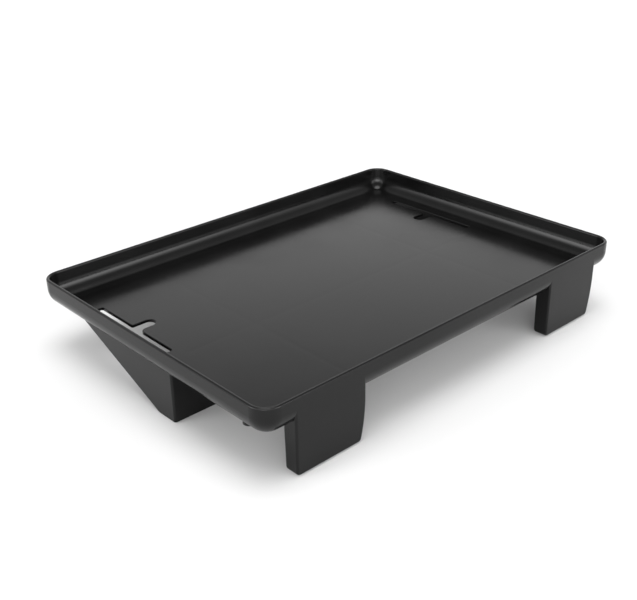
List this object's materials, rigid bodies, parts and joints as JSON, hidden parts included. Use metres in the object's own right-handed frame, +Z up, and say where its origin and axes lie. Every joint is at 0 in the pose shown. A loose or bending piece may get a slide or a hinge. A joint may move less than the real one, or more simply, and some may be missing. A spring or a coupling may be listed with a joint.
{
  "type": "paint roller tray",
  "caption": "Flat rectangular tray with a low rounded rim, raised on plate legs at the front and open wedge brackets behind, with T-shaped slots through the floor near its ends.",
  "frame": {"origin": "on the surface that the tray stands on, under the middle of the tray", "axes": "+X along the long side, to the right seen from the front; -Y the front, the side with the plate legs; +Z up"},
  "size_m": [0.4, 0.289, 0.063],
  "materials": {
    "black_plastic": "satin black moulding with a fine texture",
    "pad_rubber": "matt black rubber",
    "screw_steel": "zinc-plated"
  },
  "bodies": {
    "root": {"tray_pan": "black_plastic", "front_leg_left": "black_plastic", "front_leg_right": "black_plastic", "rear_bracket_left": "black_plastic", "rear_bracket_right": "black_plastic", "front_left_foot_pad": "pad_rubber", "front_right_foot_pad": "pad_rubber", "rear_left_foot_pad": "pad_rubber", "rear_right_foot_pad": "pad_rubber", "front_leg_screws": "screw_steel", "rear_bracket_screws": "screw_steel"}
  },
  "joints": []
}
